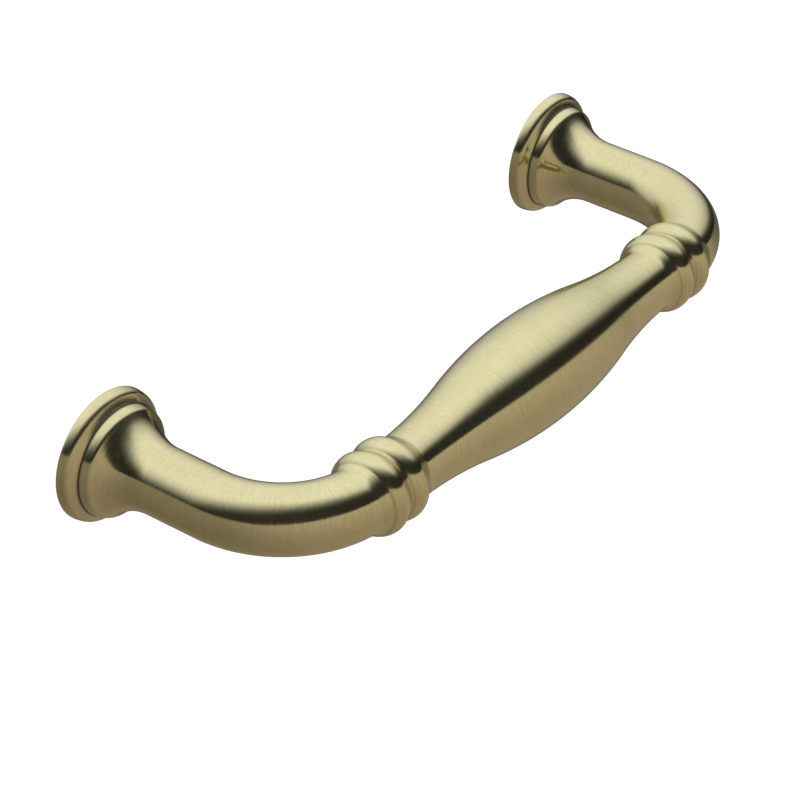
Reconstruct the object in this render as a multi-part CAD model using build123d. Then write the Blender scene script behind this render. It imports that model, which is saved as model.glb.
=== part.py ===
from build123d import *
from math import radians, tan
import os

# A cabinet pull cast in one piece, in millimetres: two rosettes that sit on the door, a post and
# an elbow on each, and a vase-shaped grip between two collars of two beads.
# X runs along the pull, the door's face is the plane Y = 0 and the pull stands out along -Y.
# Z is up, and the origin lies on the door's face, midway between the two screw holes.

# Bar
screw_centres = 76.2
grip_standoff = 24.35
elbow_radius = 10.8
bar_diameter = 7.12

# Rosette: heights are measured from the door, angles in degrees
rosette_diameter = 14.1
back_edge_inset = 0.2
rim_widest_height = 0.2
rim_round = 1.67
rim_sweep = 64
shoulder_diameter = 11.96
shoulder_foot_height = 2.32
shoulder_round = 1.9
shoulder_lean = 12
shoulder_sweep = 42
flare_end_height = 7.6

# Collar: two beads beside the end of each elbow
collar_setback = 0.15
bead_pitch = 3.02
bead_stand = 0.93
bead_crown_round = 1.7
bead_crown_sweep = 46
bead_foot_slope = 25
bead_foot_depth = 0.4

# Grip
belly_diameter = 11.7
neck_diameter = 7.02

# Tapped screw holes in the rosettes: tapping drill for a number 8 machine screw
screw_hole_diameter = 3.45
screw_hole_depth = 11
screw_hole_tip = 1.0

bar_radius = bar_diameter / 2
post_x = screw_centres / 2
post_end = grip_standoff - elbow_radius
elbow_end_x = post_x - elbow_radius
outer_bead_x = elbow_end_x - collar_setback
inner_bead_x = outer_bead_x - bead_pitch

# Drawing planes: radius against height above the door for a post, length against radius for the grip
post_plane = Plane(origin=(post_x, 0, 0), x_dir=(1, 0, 0), z_dir=(0, 0, -1))
post_axis = Axis((post_x, 0, 0), (0, -1, 0))
grip_plane = Plane(origin=(0, -grip_standoff, 0), x_dir=(1, 0, 0), z_dir=(0, 0, 1))
grip_axis = Axis((0, -grip_standoff, 0), (1, 0, 0))


def turned_post():
    """Rosette, flare and straight post, turned about the screw's axis."""
    rosette_radius = rosette_diameter / 2
    back_edge = (rosette_radius - back_edge_inset, 0)
    side = TangentArc((rosette_radius, rim_widest_height), back_edge, tangent=(0, -1))
    rim = JernArc((rosette_radius, rim_widest_height), (0, 1), rim_round, rim_sweep)
    shoulder_foot = (shoulder_diameter / 2, shoulder_foot_height)
    cove = TangentArc(rim @ 1, shoulder_foot, tangent=rim % 1)
    shoulder_start = Vector(0, 1).rotate(Axis.Z, shoulder_lean)
    shoulder = JernArc(shoulder_foot, shoulder_start, shoulder_round, shoulder_sweep)
    flare = TangentArc((bar_radius, flare_end_height), shoulder @ 1, tangent=(0, -1))
    core = Polyline(
        (bar_radius, flare_end_height),
        (bar_radius, post_end),
        (0, post_end),
        (0, 0),
        back_edge,
    )
    outline = side + rim + cove + shoulder + flare + core
    return revolve(post_plane * make_face(outline), post_axis)


def elbow():
    """Quarter turn of the round bar from the post to the grip's line."""
    section = Plane(origin=(post_x, -post_end, 0), z_dir=(0, -1, 0)) * Circle(bar_radius)
    bend_axis = Axis((elbow_end_x, -post_end, 0), (0, 0, -1))
    return revolve(section, bend_axis, revolution_arc=90)


def bead(middle_x):
    """Disc with a round crown and a low conical foot on each side, turned about the grip's line."""
    crest = (middle_x, bar_radius + bead_stand)
    crown = JernArc(crest, (1, 0), bead_crown_round, -bead_crown_sweep)
    crown_edge = crown @ 1
    foot_radius = bar_radius - bead_foot_depth
    foot_x = crown_edge.X + (crown_edge.Y - foot_radius) / tan(radians(bead_foot_slope))
    foot = Polyline(crown_edge, (foot_x, foot_radius), (foot_x, 0), (middle_x, 0), crest)
    half_bead = revolve(grip_plane * make_face(crown + foot), grip_axis)
    return half_bead + mirror(half_bead, about=Plane.YZ.offset(middle_x))


def collar():
    """Two beads whose feet meet in a shallow groove."""
    return bead(inner_bead_x) + bead(outer_bead_x)


def grip():
    """Vase with one swell in the middle, an ogee of equal arcs towards each neck."""
    belly_radius = belly_diameter / 2
    neck_radius = neck_diameter / 2
    neck_x = inner_bead_x - bead_pitch / 2
    turn_x = neck_x / 2
    turn_radius = (belly_radius + neck_radius) / 2
    swell = ThreePointArc((-turn_x, turn_radius), (0, belly_radius), (turn_x, turn_radius))
    right_neck = TangentArc((neck_x, neck_radius), (turn_x, turn_radius), tangent=(-1, 0))
    left_neck = TangentArc((-neck_x, neck_radius), (-turn_x, turn_radius), tangent=(1, 0))
    core = Polyline(
        (neck_x, neck_radius),
        (outer_bead_x, neck_radius),
        (outer_bead_x, 0),
        (-outer_bead_x, 0),
        (-outer_bead_x, neck_radius),
        (-neck_x, neck_radius),
    )
    return revolve(grip_plane * make_face(swell + right_neck + left_neck + core), grip_axis)


def screw_hole():
    """Blind tapped hole from the door's face, ending in a drill point."""
    hole_radius = screw_hole_diameter / 2
    outline = Polyline(
        (0, 0),
        (hole_radius, 0),
        (hole_radius, screw_hole_depth),
        (0, screw_hole_depth + screw_hole_tip),
        close=True,
    )
    return revolve(post_plane * make_face(outline), post_axis)


right_end = turned_post() + elbow() + collar() - screw_hole()
left_end = mirror(right_end, about=Plane.YZ)
pull_casting = grip() + right_end + left_end

os.makedirs("parts", exist_ok=True)
export_step(pull_casting, "parts/pull_casting.step")
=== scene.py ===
import math

import bpy
from mathutils import Matrix, Vector


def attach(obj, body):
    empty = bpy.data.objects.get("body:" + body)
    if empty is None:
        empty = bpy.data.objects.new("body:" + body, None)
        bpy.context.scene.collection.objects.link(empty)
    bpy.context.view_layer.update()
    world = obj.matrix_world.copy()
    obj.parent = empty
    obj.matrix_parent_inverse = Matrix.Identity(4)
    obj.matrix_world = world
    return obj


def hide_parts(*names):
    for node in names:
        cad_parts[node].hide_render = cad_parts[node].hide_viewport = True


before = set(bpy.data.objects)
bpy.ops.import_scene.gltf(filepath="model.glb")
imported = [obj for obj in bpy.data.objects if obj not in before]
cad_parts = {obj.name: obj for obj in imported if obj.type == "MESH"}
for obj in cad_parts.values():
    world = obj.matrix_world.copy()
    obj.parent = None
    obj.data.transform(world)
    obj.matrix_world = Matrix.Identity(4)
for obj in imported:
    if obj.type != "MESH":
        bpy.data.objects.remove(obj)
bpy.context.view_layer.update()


# The pull's casting.
# One brass casting: two rosettes with their flared posts, two elbows, two collars of two beads and
# a vase-shaped grip. It is turned and brushed all round, and screwed to the door from behind.

# Bar, in millimetres
MM = 0.001
SCREW_CENTRES = 76.2
GRIP_STANDOFF = 24.35
ELBOW_RADIUS = 10.8
BAR_RADIUS = 3.56
POST_X = SCREW_CENTRES / 2
POST_END = GRIP_STANDOFF - ELBOW_RADIUS
ELBOW_END_X = POST_X - ELBOW_RADIUS

# Directions round the bar in which each ring of the mesh has a point
AROUND = 100
DIRECTIONS = [2 * math.pi * k / AROUND - math.pi / 2 for k in range(AROUND)]

# Rounded corners: places on the curve, then the rows beside it and the space kept clear of other points,
# both in lengths of the rounding
CURVE_SHARES = (0.17, 0.33, 0.5, 0.67, 0.83)
CORNER_ROWS = (1.2, 1.1, 1)
CORNER_CLEARANCE = 1.3


def arc(centre, radius, start, end, steps):
    """Points on a circle's arc, from one angle to another in degrees."""
    angles = [math.radians(start + (end - start) * k / steps) for k in range(steps + 1)]
    return [(centre[0] + radius * math.cos(a), centre[1] + radius * math.sin(a)) for a in angles]


def angle_of(point, centre):
    """Direction of a point seen from a centre, in degrees."""
    return math.degrees(math.atan2(point[1] - centre[1], point[0] - centre[0]))


def tangent_arc(start, direction, end, steps):
    """Points on the arc that leaves start along a direction and reaches end."""
    chord = (end[0] - start[0], end[1] - start[1])
    across = direction[0] * chord[1] - direction[1] * chord[0]
    radius = (chord[0] ** 2 + chord[1] ** 2) / (2 * across)
    centre = (start[0] - direction[1] * radius, start[1] + direction[0] * radius)
    first, last = angle_of(start, centre), angle_of(end, centre)
    if radius > 0:
        last += 360 * math.ceil((first - last) / 360)
    else:
        last -= 360 * math.ceil((last - first) / 360)
    return arc(centre, abs(radius), first, last, steps)


def curve_point(start, corner, end, share):
    """Point on the curve from start to end that rounds off the corner between them."""
    return tuple(
        (1 - share) ** 2 * a + 2 * share * (1 - share) * b + share * share * c
        for a, b, c in zip(start, corner, end)
    )


def walked(outline, corner, step, distance):
    """Point of an outline at a distance from one of its corners, to one side of it."""
    while distance > math.dist(outline[corner], outline[corner + step]):
        distance -= math.dist(outline[corner], outline[corner + step])
        corner += step
    share = distance / math.dist(outline[corner], outline[corner + step])
    return tuple(p + (q - p) * share for p, q in zip(outline[corner], outline[corner + step]))


def softened(outline, corners):
    """Outline with some corners, each given with its rounding, turned as casting and polishing leave them."""
    made = []
    for k, point in enumerate(outline):
        if k not in corners:
            if all(math.dist(point, outline[c]) > length * CORNER_CLEARANCE for c, length in corners.items()):
                made.append(point)
            continue
        before, after = (
            [walked(outline, k, step, corners[k] * reach) for reach in CORNER_ROWS] for step in (-1, 1)
        )
        made += before[:2]
        made += [curve_point(before[2], point, after[2], share) for share in (0.0, *CURVE_SHARES, 1.0)]
        made += after[1::-1]
    return made


# Grip and collars, in millimetres and degrees. A bead has a round crown, and a conical foot on each side
BELLY_RADIUS = 5.85
NECK_RADIUS = 3.51
GRIP_STEPS = 64
COLLAR_SETBACK = 0.15
BEAD_PITCH = 3.02
BEAD_STAND = 0.93
BEAD_CROWN = 1.7
BEAD_CROWN_SWEEP = 46
BEAD_CROWN_STEPS = 20
BEAD_FOOT_ANGLE = 25
BEAD_FOOT_STEPS = 8
BEAD_FOOT_BLEND = 0.28
CREASE_ROUND = 0.07
CROWN_EDGE_MARGIN = 0.12
OUTER_BEAD_X = ELBOW_END_X - COLLAR_SETBACK
INNER_BEAD_X = OUTER_BEAD_X - BEAD_PITCH
NECK_X = INNER_BEAD_X - BEAD_PITCH / 2
CROWN_CENTRE = (0, BAR_RADIUS + BEAD_STAND - BEAD_CROWN)
BEAD_TOP = arc(CROWN_CENTRE, BEAD_CROWN, 90, 90 - BEAD_CROWN_SWEEP, BEAD_CROWN_STEPS)
CROWN_EDGE = BEAD_TOP[-1]
FOOT_START = CROWN_EDGE[0] + CROWN_EDGE_MARGIN
FOOT_SLOPE = math.tan(math.radians(BEAD_FOOT_ANGLE))


def grip_radius(x):
    """Radius of the vase at a distance from its middle: two equal arcs that meet halfway to the neck."""
    drop = BELLY_RADIUS - NECK_RADIUS
    turn = (NECK_X ** 2 + drop ** 2) / (4 * drop)
    if x < NECK_X / 2:
        return BELLY_RADIUS - turn + math.sqrt(turn ** 2 - x ** 2)
    return NECK_RADIUS + turn - math.sqrt(turn ** 2 - (NECK_X - x) ** 2)


def foot_radius(reach):
    """Radius of a bead's foot at a distance from the bead's middle."""
    return CROWN_EDGE[1] - (reach - CROWN_EDGE[0]) * FOOT_SLOPE


def bead_side(end):
    """Distance from the bead's middle and radius, from its crest down to a point on its foot."""
    foot = end - CROWN_EDGE[0]
    reaches = [CROWN_EDGE[0] + foot * k / BEAD_FOOT_STEPS for k in range(1, BEAD_FOOT_STEPS + 1)]
    return BEAD_TOP + [(reach, foot_radius(reach)) for reach in reaches]


def grip_and_collar_outline():
    """Length and radius from the belly to the outer bead's foot, and the creases of the collar."""
    neck_reach = CROWN_EDGE[0] + (CROWN_EDGE[1] - NECK_RADIUS) / FOOT_SLOPE
    neck_x = INNER_BEAD_X - neck_reach
    lengths = [neck_x * k / GRIP_STEPS for k in range(GRIP_STEPS + 1)]
    outline = [(x, grip_radius(x)) for x in lengths]
    corners = {len(outline) - 1: BEAD_FOOT_BLEND}
    groove = BEAD_PITCH / 2
    beads = ((INNER_BEAD_X, neck_reach, groove), (OUTER_BEAD_X, groove, FOOT_START))
    # Creases are the two edges of each crown, and the groove in which the feet of the two beads meet
    for middle, inward, outward in beads:
        corners[len(outline) + BEAD_FOOT_STEPS - 1] = CREASE_ROUND
        outline += [(middle - x, r) for x, r in bead_side(inward)[-2::-1]]
        corners[len(outline) + BEAD_CROWN_STEPS - 1] = CREASE_ROUND
        outline += [(middle + x, r) for x, r in bead_side(outward)[1:]]
        if outward == groove:
            corners[len(outline) - 1] = CREASE_ROUND
    creases = [outline[k] for k, length in corners.items() if length == CREASE_ROUND]
    return softened(outline, corners), creases


def grip_point(x, radius, around):
    """Point on the grip or the collar."""
    return (x, -GRIP_STANDOFF - radius * math.cos(around), radius * math.sin(around))


# Elbow: the bar bends inside the outer bead's foot, so the crease between them isn't a flat ring.
# Bends are in radians, and the blend's limit is a share of the foot's length
ELBOW_STEPS = 40
FOOT_RINGS = 6
FOOT_BLEND_LIMIT = 0.6
CREASE_BEND_LIMIT = 0.4
CREASE_HALVINGS = 40


def elbow_point(bend, around):
    """Point on the elbow, at an angle along its bend."""
    reach = ELBOW_RADIUS + BAR_RADIUS * math.cos(around)
    return (
        ELBOW_END_X + reach * math.sin(bend),
        -POST_END - reach * math.cos(bend),
        BAR_RADIUS * math.sin(around),
    )


def elbow_crease(around):
    """Angle along the elbow at which the bar comes out of the outer bead's foot."""
    low, high = 0.0, CREASE_BEND_LIMIT
    reach = ELBOW_RADIUS + BAR_RADIUS * math.cos(around)
    for _ in range(CREASE_HALVINGS):
        middle = (low + high) / 2
        off = math.hypot(reach * math.cos(middle) - ELBOW_RADIUS, BAR_RADIUS * math.sin(around))
        out = max(ELBOW_END_X + reach * math.sin(middle) - OUTER_BEAD_X, CROWN_EDGE[0])
        if foot_radius(out) > off:
            low = middle
        else:
            high = middle
    return low


def elbow_rings():
    """Rings down the outer bead's foot, over its softened crease and round the elbow."""
    foot_rings = [[] for _ in range(FOOT_RINGS)]
    crease, starts = [], []
    for a in DIRECTIONS:
        bend = elbow_crease(a)
        x, y, z = elbow_point(bend, a)
        turn = math.atan2(z, -GRIP_STANDOFF - y) - a
        turn = math.atan2(math.sin(turn), math.cos(turn))
        length = x - OUTER_BEAD_X - FOOT_START
        blend = min(BEAD_FOOT_BLEND, FOOT_BLEND_LIMIT * length)
        for k, ring in enumerate(foot_rings):
            share = (1 - blend / length) * (k + 1) / FOOT_RINGS
            reach = FOOT_START + length * share
            ring.append(grip_point(OUTER_BEAD_X + reach, foot_radius(reach), a + turn * share))
        crease.append((x, y, z))
        starts.append(bend + blend / (ELBOW_RADIUS + BAR_RADIUS * math.cos(a)))

    bar_rings = []
    for k in range(ELBOW_STEPS + 1):
        share = k / ELBOW_STEPS
        bar_rings.append([elbow_point(s + (math.pi / 2 - s) * share, a) for s, a in zip(starts, DIRECTIONS)])
    crease_rings = [
        [curve_point(p, q, r, share) for p, q, r in zip(foot_rings[-1], crease, bar_rings[0])]
        for share in CURVE_SHARES
    ]
    return foot_rings + crease_rings + bar_rings


# Screw hole, in millimetres: tapped from behind for a number 8 machine screw
HOLE_RADIUS = 1.725
HOLE_MOUTH_RADIUS = 2.3
HOLE_DEPTH = 11.0
HOLE_TIP = 1.0
THREAD_PITCH = 0.794
THREAD_DEPTH = 0.36
THREAD_STEPS = 8
THREAD_RUNOUT = 1.6

# Post and rosette, in millimetres. Rim and shoulder are bands of two arcs, and a band's leans are
# the degrees from upright of its foot, of the place where its arcs meet, and of its upper edge
ROSETTE_RADIUS = 7.05
BACK_EDGE_INSET = 0.2
BACK_EDGE_STEPS = 4
BACK_RADII = (6.0, 4.6, 3.2, HOLE_MOUTH_RADIUS)
RIM_WIDEST_HEIGHT = 0.2
RIM_LEANS = (2, 12, 60)
RIM_ROUNDS = (4.0, 0.78)
LEDGE_STEPS = 12
SHOULDER_FOOT = (5.90, 1.95)
SHOULDER_LEANS = (3, 13, 50)
SHOULDER_ROUNDS = (5.0, 0.6)
BAND_STEPS = 10
FLARE_END_HEIGHT = 7.6
FLARE_STEPS = 26
POST_STEPS = 5
FOOT_ROUND = 0.03


def post_point(radius, height, around):
    """Point on the post, the rosette or the screw hole, at a height above the door."""
    return (POST_X + radius * math.cos(around), -height, radius * math.sin(around))


def band(foot, leans, rounds):
    """Points from a band's tight upper edge down its slightly rounded side to its foot."""
    made = [foot]
    for lean, next_lean, rounding in zip(leans, leans[1:], rounds):
        centre = (
            made[-1][0] - rounding * math.cos(math.radians(lean)),
            made[-1][1] - rounding * math.sin(math.radians(lean)),
        )
        made += arc(centre, rounding, lean, next_lean, BAND_STEPS)[1:]
    return made[::-1]


def post_outline():
    """Radius and height from the flare's end to the hole's mouth in the rosette's back, and the crease."""
    shoulder = band(SHOULDER_FOOT, SHOULDER_LEANS, SHOULDER_ROUNDS)
    flare = tangent_arc((BAR_RADIUS, FLARE_END_HEIGHT), (0, -1), shoulder[0], FLARE_STEPS)[:-1]
    rim = band((ROSETTE_RADIUS, RIM_WIDEST_HEIGHT), RIM_LEANS, RIM_ROUNDS)
    lean = math.radians(RIM_LEANS[-1])
    ledge = tangent_arc(rim[0], (-math.sin(lean), math.cos(lean)), SHOULDER_FOOT, LEDGE_STEPS)[::-1]
    back_edge = (ROSETTE_RADIUS - BACK_EDGE_INSET, 0)
    side = tangent_arc(rim[-1], (0, -1), back_edge, BACK_EDGE_STEPS)
    outline = flare + shoulder + ledge[1:] + rim[1:] + side[1:]
    corners = {len(flare) + len(shoulder) - 1: FOOT_ROUND, len(outline) - 1: FOOT_ROUND}
    outline += [(radius, 0) for radius in BACK_RADII]
    return softened(outline, corners), [SHOULDER_FOOT]


def hole_rings():
    """Rings from the countersunk mouth of the screw hole down its thread to the drill's point."""
    thread_start = HOLE_MOUTH_RADIUS - HOLE_RADIUS
    last = int(THREAD_STEPS * (HOLE_DEPTH - THREAD_RUNOUT - thread_start) / THREAD_PITCH)
    rings = []
    for k in range(last + 1):
        height = thread_start + k * THREAD_PITCH / THREAD_STEPS
        fade = min(1, k / THREAD_STEPS, (last - k) / THREAD_STEPS)
        ring = []
        for a in DIRECTIONS:
            phase = (height / THREAD_PITCH + a / (2 * math.pi)) % 1
            cut = THREAD_DEPTH * fade * (1 - abs(2 * phase - 1))
            ring.append(post_point(HOLE_RADIUS + cut, height, a))
        rings.append(ring)
    rings.append([post_point(HOLE_RADIUS, HOLE_DEPTH, a) for a in DIRECTIONS])
    rings.append([post_point(HOLE_RADIUS / 2, HOLE_DEPTH + HOLE_TIP / 2, a) for a in DIRECTIONS])
    return rings


# Marks for the finish, in millimetres: creases get painted shade, and flares are smoother between two heights
CREASE_SHADE_WIDTH = 0.14
COLLAR_CREASE_SHADE = 0.22
POLISH_START = 3.0
POLISH_START_FADE = 0.5
POLISH_END = 9.0
POLISH_END_FADE = 2.5


def crease_shade(point, creases):
    """Share of painted shade that a point of an outline gets near one of its creases, from 0 to 1."""
    return max(math.exp(-(math.dist(point, crease) / CREASE_SHADE_WIDTH) ** 2) for crease in creases)


def flare_polish(height):
    """How far the flare is polished at a height above the door, from 0 to 1."""
    rise = (height - POLISH_START) / POLISH_START_FADE
    fall = (POLISH_END - height) / POLISH_END_FADE
    return max(0.0, min(1.0, rise, fall))


def half_of_pull():
    """Rings from the belly to the end of a screw hole, and each ring's distance along, painted crease shade
    and polish.
    """
    outline, creases = grip_and_collar_outline()
    rings = [[grip_point(x, radius, a) for a in DIRECTIONS] for x, radius in outline]
    # Painted shade along the collar's creases, lighter than at the rosette
    crease_shades = [COLLAR_CREASE_SHADE * crease_shade(point, creases) for point in outline]
    rings += elbow_rings()

    outline, creases = post_outline()
    for k in range(1, POST_STEPS):
        height = POST_END + (outline[0][1] - POST_END) * k / POST_STEPS
        rings.append([post_point(BAR_RADIUS, height, a) for a in DIRECTIONS])
    crease_shades += [0.0] * (len(rings) - len(crease_shades))
    polishes = [0.0] * len(rings)
    rings += [[post_point(radius, height, a) for a in DIRECTIONS] for radius, height in outline]
    # Painted shade in the crease at the shoulder's foot
    crease_shades += [crease_shade(point, creases) for point in outline]
    polishes += [flare_polish(height) for _, height in outline]

    rings += hole_rings()
    crease_shades += [0.0] * (len(rings) - len(crease_shades))
    polishes += [0.0] * (len(rings) - len(polishes))

    along = [0.0]
    side = AROUND // 2
    for before, after in zip(rings, rings[1:]):
        along.append(along[-1] + math.dist(before[side], after[side]))
    return rings, along, crease_shades, polishes


# Millimetres along the pull for each unit of the map that the brushing follows
LATHE_UNIT = 20


def casting_mesh():
    """Closed mesh of the pull: one half's rings, the same rings mirrored, and the tips of the two holes."""
    rings, along, crease_shades, polishes = half_of_pull()
    vertices, marks = [], []
    for side in (1, -1):
        for k, ring in enumerate(rings):
            if side == -1 and k == 0:
                continue
            vertices += [(side * x * MM, y * MM, z * MM) for x, y, z in ring]
            marks += [(side * along[k], crease_shades[k], polishes[k])] * AROUND
    tips = {}
    for side in (1, -1):
        tips[side] = len(vertices)
        vertices.append((side * POST_X * MM, (-HOLE_DEPTH - HOLE_TIP) * MM, 0))
        marks.append((side * along[-1], 0.0, 0.0))

    def ring_start(side, k):
        """Number of a ring's first point. The two halves share the ring at the belly."""
        if k == 0:
            return 0
        return (k if side == 1 else len(rings) + k - 1) * AROUND

    faces, turns = [], []
    for side in (1, -1):
        for k in range(len(rings) - 1):
            low, high = ring_start(side, k), ring_start(side, k + 1)
            for j in range(AROUND):
                n = (j + 1) % AROUND
                faces.append((low + j, low + n, high + n, high + j)[::side])
                turns.append((j, j + 1, j + 1, j)[::side])
        last = ring_start(side, len(rings) - 1)
        for j in range(AROUND):
            faces.append((last + j, last + (j + 1) % AROUND, tips[side])[::side])
            turns.append((j, j + 1, j + 0.5)[::side])

    mesh = bpy.data.meshes.new("pull_casting_brushed")
    mesh.from_pydata(vertices, [], faces)
    lathe = mesh.uv_layers.new(name="lathe")
    for polygon, turn in zip(mesh.polygons, turns):
        for loop, t in zip(polygon.loop_indices, turn):
            distance = marks[mesh.loops[loop].vertex_index][0]
            lathe.data[loop].uv = (distance / LATHE_UNIT, t / AROUND)
    # The mesh keeps the painted crease shade and the flare's polish as marks on its points
    for place, name in ((1, "crease_shade"), (2, "polish")):
        layer = mesh.attributes.new(name, "FLOAT", "POINT")
        layer.data.foreach_set("value", [mark[place] for mark in marks])
    mesh.shade_smooth()
    return mesh


casting = bpy.data.objects.new("pull_casting_brushed", casting_mesh())
bpy.context.scene.collection.objects.link(casting)

# Satin brass: belt-brushed round the bar, a little cloudy, smoother on the flares, with painted shade
# darkening the creases.
# Ends are the noise values between which a tone or a roughness goes from its first to its last, line tones
# are shares of the brass's colour, and the depth of scratches is in metres
SATIN_BRASS = (0.72, 0.67, 0.39)
SATIN_ROUGHNESS = 0.185
FLARE_ROUGHNESS = 0.14
SATIN_ANISOTROPY = 0.85
LINE_TONES = (0.90, 1.07)
LINE_TONE_ENDS = (0.35, 0.65)
LINE_ROUGHNESS = (-0.03, 0.03)
LINE_ROUGHNESS_ENDS = (0.3, 0.7)
LINE_DETAIL = 2
LINE_SHARPNESS = 0.6
FINE_LINES_PER_MM = 9.0
FINE_LINE_BREAKS = 5.0
FINE_LINE_SHARE = 0.7
LONG_LINES_PER_MM = 3.0
LONG_LINE_BREAKS = 1.6
LONG_LINE_SHARE = 0.3
CLOUD_BRASS = (0.66, 0.60, 0.35)
CLOUD_SHARES = (0, 0.35)
CLOUD_TONE_ENDS = (0.4, 0.75)
CLOUD_ROUGHNESS = (-0.015, 0.02)
CLOUD_ROUGHNESS_ENDS = (0.35, 0.7)
CLOUDS_PER_METRE = 140
CLOUD_DETAIL = 3
# Painted shade: the colour to which the brass darkens in its creases, how far it goes, and the roughness
# added there
PAINTED_CREASE_SHADE = (0.06, 0.045, 0.025)
CREASE_SHADE_SHARE = 0.95
CREASE_SHADE_ROUGHNESS = 0.25
SCRATCH_STRENGTH = 0.4
SCRATCH_DEPTH = 0.00002


def worked_out(tree, operation, *values):
    """Output of a Math node on other outputs or plain numbers."""
    node = tree.nodes.new("ShaderNodeMath")
    node.operation = operation
    for socket, value in zip(node.inputs, values):
        if isinstance(value, (int, float)):
            socket.default_value = value
        else:
            tree.links.new(value, socket)
    return node.outputs["Value"]


def vector_node(tree, operation, vector):
    """Vector Math node that works on another node's output."""
    node = tree.nodes.new("ShaderNodeVectorMath")
    node.operation = operation
    tree.links.new(vector, node.inputs[0])
    return node


def spread(tree, value, ends, shares, smooth=False):
    """Output of a Map Range node that goes from one share to the other between two ends of a value."""
    node = tree.nodes.new("ShaderNodeMapRange")
    node.interpolation_type = "SMOOTHSTEP" if smooth else "LINEAR"
    for name, number in zip(("From Min", "From Max", "To Min", "To Max"), (*ends, *shares)):
        node.inputs[name].default_value = number
    tree.links.new(value, node.inputs["Value"])
    return node.outputs["Result"]


def mixed(tree, share, first, second):
    """Output of a colour Mix node between two outputs or plain colours."""
    node = tree.nodes.new("ShaderNodeMix")
    node.data_type = "RGBA"
    tree.links.new(share, node.inputs["Factor"])
    for socket, value in ((node.inputs["A"], first), (node.inputs["B"], second)):
        if isinstance(value, tuple):
            socket.default_value = (*value, 1)
        else:
            tree.links.new(value, socket)
    return node.outputs["Result"]


def attribute(tree, name):
    """Output of an Attribute node that reads one of the mesh's marks."""
    node = tree.nodes.new("ShaderNodeAttribute")
    node.attribute_name = name
    return node.outputs["Fac"]


satin_brass = bpy.data.materials.new("satin_brass")
satin_brass.use_nodes = True
tree = satin_brass.node_tree
brass = tree.nodes["Principled BSDF"]
brass.inputs["Metallic"].default_value = 1.0
brass.inputs["Anisotropic"].default_value = SATIN_ANISOTROPY
tangent = tree.nodes.new("ShaderNodeTangent")
tangent.direction_type = "UV_MAP"
tangent.uv_map = "lathe"
tree.links.new(tangent.outputs["Tangent"], brass.inputs["Tangent"])

lathe = tree.nodes.new("ShaderNodeUVMap")
lathe.uv_map = "lathe"
lathe_parts = tree.nodes.new("ShaderNodeSeparateXYZ")
tree.links.new(lathe.outputs["UV"], lathe_parts.inputs["Vector"])
along = worked_out(tree, "MULTIPLY", lathe_parts.outputs["X"], LATHE_UNIT)
around = worked_out(tree, "MULTIPLY", lathe_parts.outputs["Y"], 2 * math.pi)
brush_place = tree.nodes.new("ShaderNodeCombineXYZ")
tree.links.new(along, brush_place.inputs["X"])
tree.links.new(worked_out(tree, "COSINE", around), brush_place.inputs["Y"])
tree.links.new(worked_out(tree, "SINE", around), brush_place.inputs["Z"])


def brush_lines(per_mm, breaks, share):
    """Noise drawn out round the bar, as an abrasive belt leaves it, by its share in the brushing."""
    stretch = vector_node(tree, "MULTIPLY", brush_place.outputs["Vector"])
    stretch.inputs[1].default_value = (per_mm, breaks, breaks)
    noise = tree.nodes.new("ShaderNodeTexNoise")
    noise.inputs["Scale"].default_value = 1.0
    noise.inputs["Detail"].default_value = LINE_DETAIL
    noise.inputs["Roughness"].default_value = LINE_SHARPNESS
    tree.links.new(stretch.outputs["Vector"], noise.inputs["Vector"])
    return worked_out(tree, "MULTIPLY", noise.outputs["Fac"], share)


fine_lines = brush_lines(FINE_LINES_PER_MM, FINE_LINE_BREAKS, FINE_LINE_SHARE)
long_lines = brush_lines(LONG_LINES_PER_MM, LONG_LINE_BREAKS, LONG_LINE_SHARE)
lines = worked_out(tree, "ADD", fine_lines, long_lines)
cloud_noise = tree.nodes.new("ShaderNodeTexNoise")
cloud_noise.inputs["Scale"].default_value = CLOUDS_PER_METRE
cloud_noise.inputs["Detail"].default_value = CLOUD_DETAIL
object_place = tree.nodes.new("ShaderNodeTexCoord")
tree.links.new(object_place.outputs["Object"], cloud_noise.inputs["Vector"])
cloud = cloud_noise.outputs["Fac"]
crease_shade_mark = attribute(tree, "crease_shade")
polish_mark = attribute(tree, "polish")

dark_line, light_line = (tuple(tone * c for c in SATIN_BRASS) for tone in LINE_TONES)
tone = mixed(tree, spread(tree, lines, LINE_TONE_ENDS, (0, 1)), dark_line, light_line)
tone = mixed(tree, spread(tree, cloud, CLOUD_TONE_ENDS, CLOUD_SHARES), tone, CLOUD_BRASS)
# Painted shade darkens the brass in the creases
tone = mixed(tree, worked_out(tree, "MULTIPLY", crease_shade_mark, CREASE_SHADE_SHARE), tone, PAINTED_CREASE_SHADE)
tree.links.new(tone, brass.inputs["Base Color"])

roughness = spread(tree, polish_mark, (0, 1), (SATIN_ROUGHNESS, FLARE_ROUGHNESS))
for change in (
    spread(tree, lines, LINE_ROUGHNESS_ENDS, LINE_ROUGHNESS),
    spread(tree, cloud, CLOUD_ROUGHNESS_ENDS, CLOUD_ROUGHNESS),
    worked_out(tree, "MULTIPLY", crease_shade_mark, CREASE_SHADE_ROUGHNESS),
):
    roughness = worked_out(tree, "ADD", roughness, change)
tree.links.new(roughness, brass.inputs["Roughness"])

scratches = tree.nodes.new("ShaderNodeBump")
scratches.inputs["Strength"].default_value = SCRATCH_STRENGTH
scratches.inputs["Distance"].default_value = SCRATCH_DEPTH
tree.links.new(lines, scratches.inputs["Height"])
tree.links.new(scratches.outputs["Normal"], brass.inputs["Normal"])
casting.data.materials.append(satin_brass)

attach(casting, "root")
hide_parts("pull_casting")


# The studio.
# A pale floor well below the pull, and a soft light that leans over it from behind: bright above,
# a dark gap on the viewer's side, and a warm table tone below.

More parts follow.
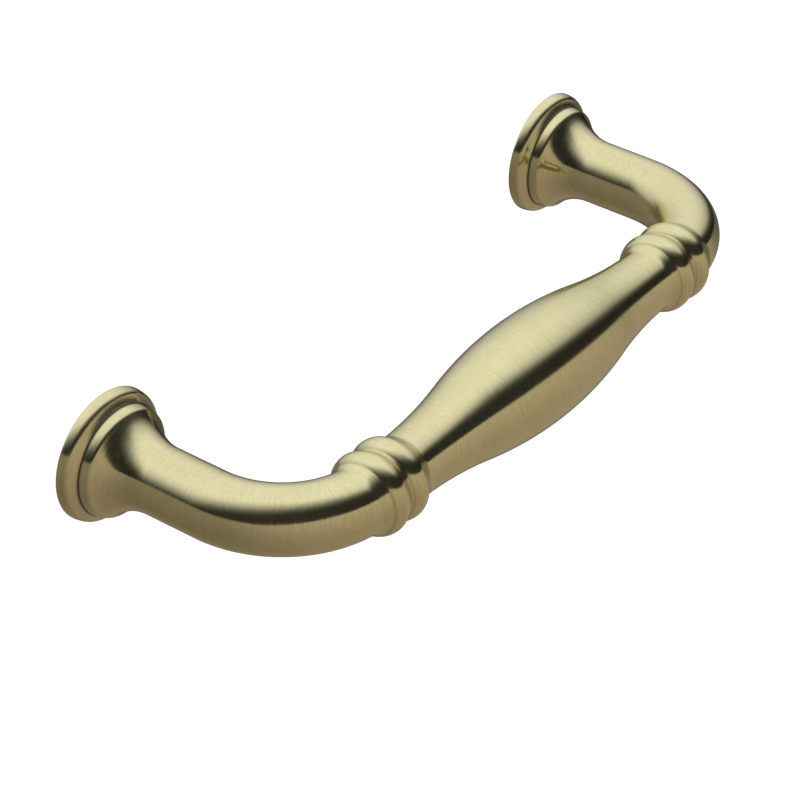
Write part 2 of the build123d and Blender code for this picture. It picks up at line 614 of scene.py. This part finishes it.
# Cover: brightness by the degrees from the plane square to the side that it leans from
COVER_SIDE = (0.277, 0.595, 0.754)
COVER_TONES = (
    (-90, 0.012), (13, 0.012), (15.5, 0.04), (18, 0.09), (20, 0.17), (23, 0.40),
    (25, 0.52), (28, 0.68), (36, 0.88), (50, 1.03), (60, 1.07), (90, 1.02),
)
NEAR_COVER_TONES = (
    (-90, 0.02), (12, 0.02), (17, 0.045), (20, 0.08), (23, 0.12), (26, 0.18), (30, 0.31),
    (33, 0.43), (36, 0.52), (39, 0.62), (44, 0.84), (50, 0.98), (56, 1.04), (90, 1.02),
)
TABLE_FAR = (0.38, 0.31, 0.25)
TABLE_NEAR = (0.52, 0.46, 0.37)

# Sides of the studio: the direction of each, the two cosines from it between which a share changes,
# and the share at both
TABLE_FACING = (0.124, 0.404, 0.906)
TABLE_LEFT_FACING = (0.282, 0.076, 0.956)
EDGE_FADE = (-0.03, 0.03)
NEAR_SIDE = ((-0.643, -0.766, 0), (-0.15, 0.2), (0, 1))
OVERHEAD = ((0, 0, 1), (-0.3, 0.75), (0.55, 1))
TABLE_EDGE = (TABLE_FACING, EDGE_FADE, (0, 1))
TABLE_LEFT_EDGE = (TABLE_LEFT_FACING, EDGE_FADE, (0, 1))
TABLE_DEPTH = (TABLE_FACING, (-0.9, 0), (0, 1))
TABLE_LIT_SIDE = ((0.5, -0.866, 0), (-0.6, 0.5), (0.5, 1.02))
TABLE_RIGHT_END = ((0.985, 0.174, 0), (0.74, 0.97), (1, 0.25))
TABLE_BEHIND = ((0.671, 0.476, -0.569), (0.86, 0.99), (1, 0.4))


def studio_group():
    """Node group for the studio's colour in a direction: cover above the table's edges, table below."""
    tree = bpy.data.node_groups.new("studio_tone", "ShaderNodeTree")
    tree.interface.new_socket("Direction", in_out="INPUT", socket_type="NodeSocketVector")
    tree.interface.new_socket("Color", in_out="OUTPUT", socket_type="NodeSocketColor")
    direction = tree.nodes.new("NodeGroupInput").outputs["Direction"]

    def towards(side, ends, shares, smooth=True):
        """Share that changes as the direction turns towards a side."""
        facing = vector_node(tree, "DOT_PRODUCT", direction)
        facing.inputs[1].default_value = side
        return spread(tree, facing.outputs["Value"], ends, shares, smooth)

    def scaled(colour, share):
        """Colour made darker or lighter by a share."""
        product = vector_node(tree, "SCALE", colour)
        tree.links.new(share, product.inputs["Scale"])
        return product.outputs["Vector"]

    def cover(tones):
        """Brightness of the cover, from its list of degrees and tones."""
        ramp = tree.nodes.new("ShaderNodeValToRGB")
        stops = ramp.color_ramp.elements
        while len(stops) < len(tones):
            stops.new(0.5)
        for stop, (height, tone) in zip(stops, tones):
            stop.position = (math.sin(math.radians(height)) + 1) / 2
            stop.color = (tone, tone, tone, 1)
        tree.links.new(towards(COVER_SIDE, (-1, 1), (0, 1), smooth=False), ramp.inputs["Fac"])
        return ramp.outputs["Color"]

    above = mixed(tree, towards(*NEAR_SIDE), cover(COVER_TONES), cover(NEAR_COVER_TONES))
    above = scaled(above, towards(*OVERHEAD))
    below = mixed(tree, towards(*TABLE_DEPTH, smooth=False), TABLE_FAR, TABLE_NEAR)
    below = scaled(below, towards(*TABLE_LIT_SIDE, smooth=False))
    below = scaled(below, towards(*TABLE_RIGHT_END))
    below = scaled(below, towards(*TABLE_BEHIND))
    past_edges = worked_out(tree, "MULTIPLY", towards(*TABLE_EDGE), towards(*TABLE_LEFT_EDGE))
    colour = mixed(tree, past_edges, below, above)
    tree.links.new(colour, tree.nodes.new("NodeGroupOutput").inputs["Color"])
    return tree


studio_tone = studio_group()


def studio_colour(tree, direction):
    """Output of the studio's group, placed in a node tree, for a direction."""
    node = tree.nodes.new("ShaderNodeGroup")
    node.node_tree = studio_tone
    tree.links.new(direction, node.inputs["Direction"])
    return node.outputs["Color"]


def mirrored_ray(tree, path):
    """1 for the rays by which metal and glass see the studio, and 0 for the others."""
    return worked_out(tree, "MAXIMUM", path.outputs["Is Glossy Ray"], path.outputs["Is Transmission Ray"])


def shader_mix(tree, share, first, second):
    """Output of a Mix Shader node between two shaders."""
    node = tree.nodes.new("ShaderNodeMixShader")
    for socket, value in zip(node.inputs, (share, first, second)):
        tree.links.new(value, socket)
    return node.outputs["Shader"]


ROOM_LIGHT = (0.92, 0.92, 0.92, 1)
WHITE = (1, 1, 1, 1)

world = bpy.data.worlds.new("studio")
bpy.context.scene.world = world
world.use_nodes = True
tree = world.node_tree
tree.nodes.clear()
path = tree.nodes.new("ShaderNodeLightPath")
room = tree.nodes.new("ShaderNodeBackground")
room.inputs["Color"].default_value = ROOM_LIGHT
studio = tree.nodes.new("ShaderNodeBackground")
outward = tree.nodes.new("ShaderNodeTexCoord")
tree.links.new(studio_colour(tree, outward.outputs["Generated"]), studio.inputs["Color"])
backdrop = tree.nodes.new("ShaderNodeBackground")
backdrop.inputs["Color"].default_value = WHITE
lit = shader_mix(tree, mirrored_ray(tree, path), room.outputs["Background"], studio.outputs["Background"])
seen = shader_mix(tree, path.outputs["Is Camera Ray"], lit, backdrop.outputs["Background"])
tree.links.new(seen, tree.nodes.new("ShaderNodeOutputWorld").inputs["Surface"])

# Floor, in metres
FLOOR_DEPTH = 0.5
FLOOR_REACH = 3.0
FLOOR_CORNERS = ((-1, -1), (1, -1), (1, 1), (-1, 1))
FLOOR_PAINT = (0.86, 0.86, 0.86, 1)
FLOOR_ROUGHNESS = 0.9
FLOOR_LIFT = 0.3

floor_mesh = bpy.data.meshes.new("floor")
floor_points = [(x * FLOOR_REACH, y * FLOOR_REACH, -FLOOR_DEPTH) for x, y in FLOOR_CORNERS]
floor_mesh.from_pydata(floor_points, [], [(0, 1, 2, 3)])
floor = bpy.data.objects.new("floor", floor_mesh)
bpy.context.scene.collection.objects.link(floor)

pale_floor = bpy.data.materials.new("pale_floor")
pale_floor.use_nodes = True
tree = pale_floor.node_tree
paint = tree.nodes["Principled BSDF"]
paint.inputs["Base Color"].default_value = FLOOR_PAINT
paint.inputs["Roughness"].default_value = FLOOR_ROUGHNESS
paint.inputs["Emission Color"].default_value = WHITE
path = tree.nodes.new("ShaderNodeLightPath")
lift = worked_out(tree, "MULTIPLY", path.outputs["Is Camera Ray"], FLOOR_LIFT)
tree.links.new(lift, paint.inputs["Emission Strength"])
floor_place = tree.nodes.new("ShaderNodeNewGeometry")
from_pull = vector_node(tree, "NORMALIZE", floor_place.outputs["Position"])
glow = tree.nodes.new("ShaderNodeEmission")
tree.links.new(studio_colour(tree, from_pull.outputs["Vector"]), glow.inputs["Color"])
shine = shader_mix(tree, mirrored_ray(tree, path), paint.outputs["BSDF"], glow.outputs["Emission"])
tree.links.new(shine, tree.nodes["Material Output"].inputs["Surface"])
floor_mesh.materials.append(pale_floor)

bpy.context.scene.view_settings.view_transform = "Standard"


# The camera.
# Stands to the left, in front and above, a long lens that looks along the pull from its near end.

# Distances in millimetres
VIEW_AZIMUTH = math.radians(-54.6125)
VIEW_ELEVATION = math.radians(34.7284)
VIEW_ROLL = math.radians(2.0873)
VIEW_DISTANCE = 305.502
VIEW_TARGET = Vector((0, -12.7, 0))
VIEW_OFFSET = (3.9468, 7.1972)
PICTURE_WIDTH = 800
PIXELS_PER_MM = 9.591268
SENSOR_WIDTH = 36
NEAREST_SEEN = 10

back = Vector((
    math.sin(VIEW_AZIMUTH) * math.cos(VIEW_ELEVATION),
    -math.cos(VIEW_AZIMUTH) * math.cos(VIEW_ELEVATION),
    math.sin(VIEW_ELEVATION),
))
level = Vector((math.cos(VIEW_AZIMUTH), math.sin(VIEW_AZIMUTH), 0))
upright = back.cross(level)
right = level * math.cos(VIEW_ROLL) + upright * math.sin(VIEW_ROLL)
up = upright * math.cos(VIEW_ROLL) - level * math.sin(VIEW_ROLL)
stand = VIEW_TARGET + back * VIEW_DISTANCE - right * VIEW_OFFSET[0] - up * VIEW_OFFSET[1]

camera = bpy.data.objects.new("camera", bpy.data.cameras.new("camera"))
bpy.context.scene.collection.objects.link(camera)
camera.data.sensor_width = SENSOR_WIDTH
camera.data.lens = PIXELS_PER_MM * VIEW_DISTANCE / PICTURE_WIDTH * SENSOR_WIDTH
camera.data.clip_start = NEAREST_SEEN * MM
camera.matrix_world = Matrix.Translation(stand * MM) @ Matrix((right, up, back)).transposed().to_4x4()
bpy.context.scene.camera = camera
